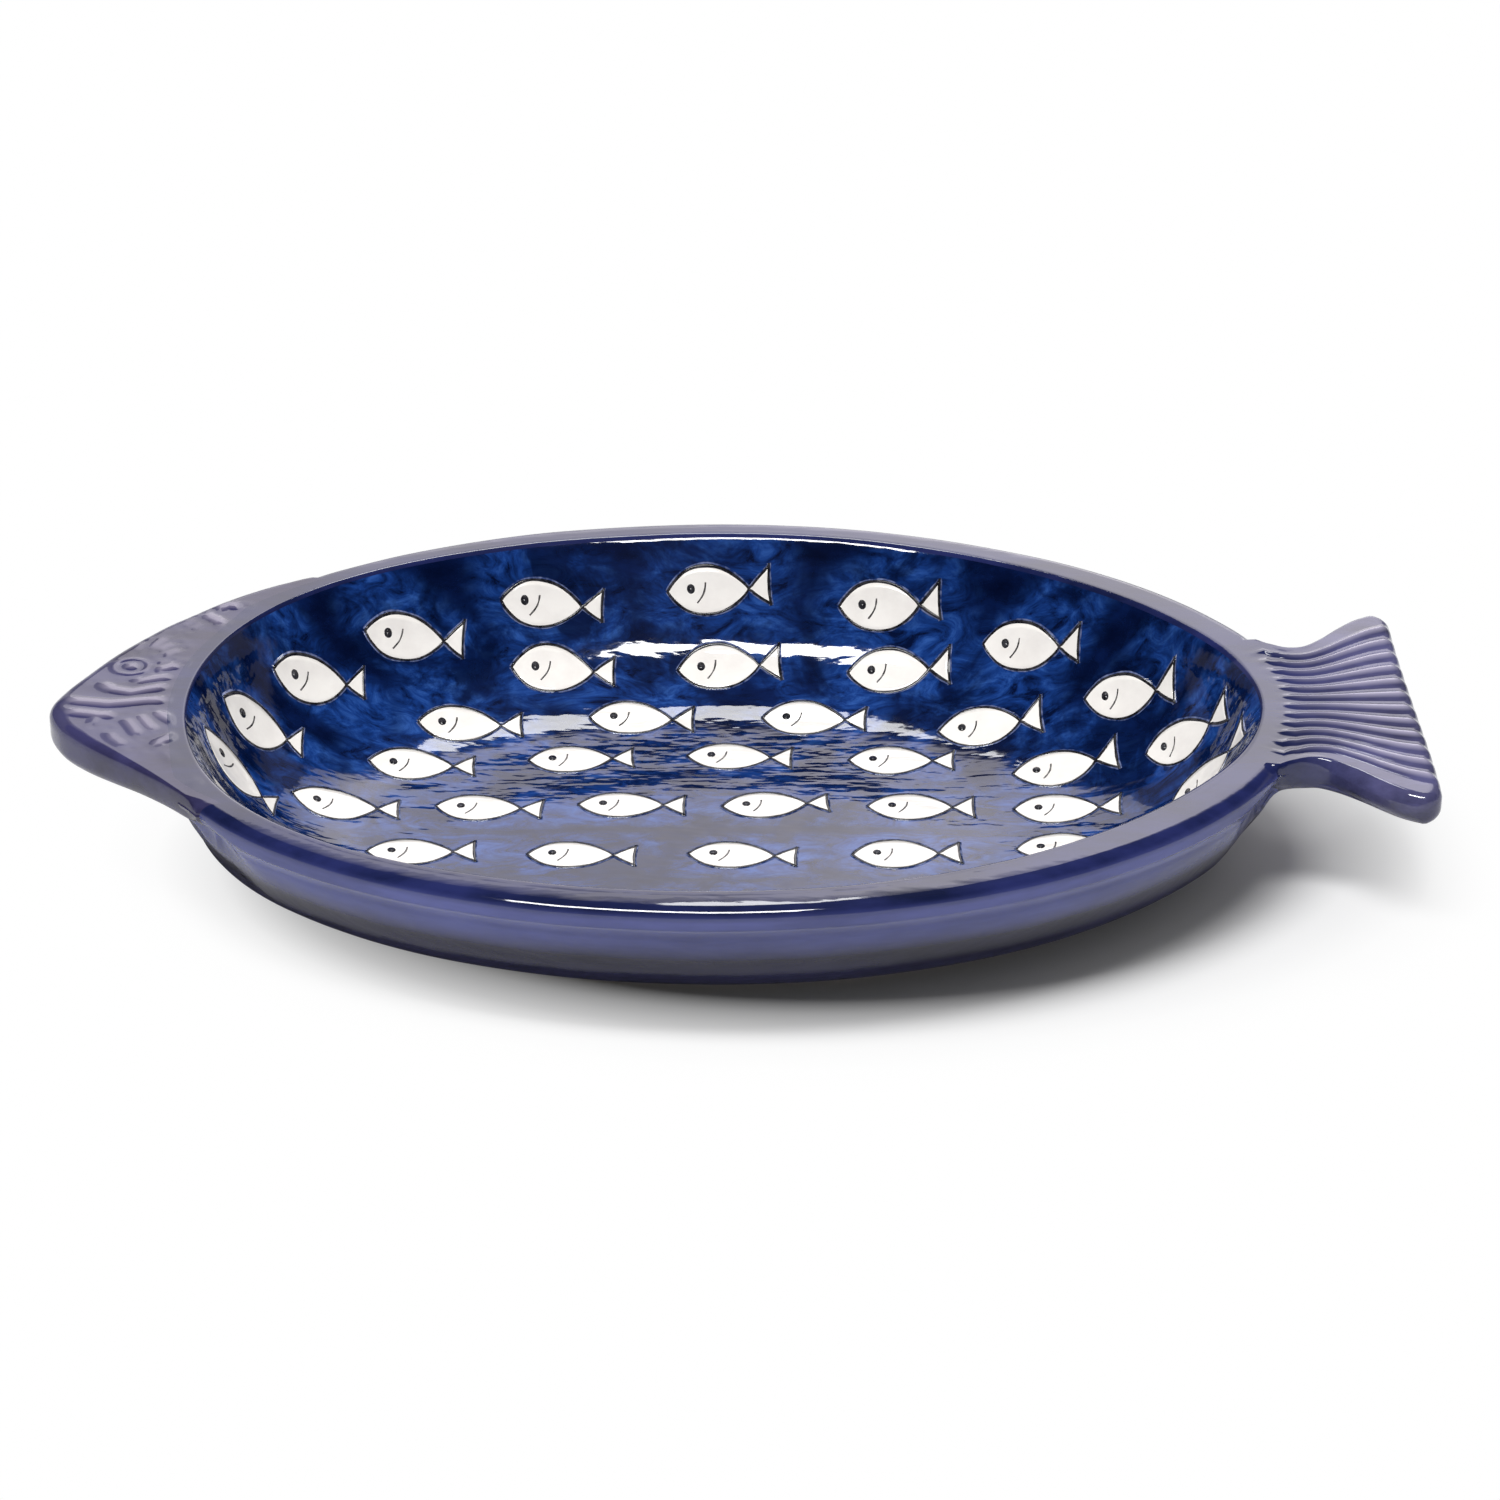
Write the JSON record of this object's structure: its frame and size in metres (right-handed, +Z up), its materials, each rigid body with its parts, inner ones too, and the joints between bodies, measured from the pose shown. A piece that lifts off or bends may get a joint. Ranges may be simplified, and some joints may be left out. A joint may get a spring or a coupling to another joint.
{
  "type": "platter",
  "caption": "Oval glazed earthenware serving platter in the shape of a fish, with a deep bowl, rounded rim, head and tail slabs, foot ring and rows of small white fish.",
  "frame": {"origin": "on the table, under the middle of the platter's whole outline", "axes": "+X towards the tail, +Z up, +Y towards the side of the head that has the eye"},
  "size_m": [0.4519, 0.261, 0.0591],
  "materials": {
    "cobalt_glaze": "glossy brushed cobalt and navy underglaze",
    "navy_glaze": "glossy streaky navy",
    "bare_clay": "unglazed, matte",
    "white_slip": "glossy white slip",
    "dark_line": "dark incised line under glaze"
  },
  "bodies": {
    "root": {"basin": "cobalt_glaze", "rim": "navy_glaze", "head": "navy_glaze", "tail_fin": "navy_glaze", "foot_ring": "bare_clay", "wall_fish": "white_slip", "floor_fish": "white_slip", "fish_outlines": "dark_line", "fish_eyes": "dark_line", "fish_gill_lines": "dark_line"}
  },
  "joints": []
}
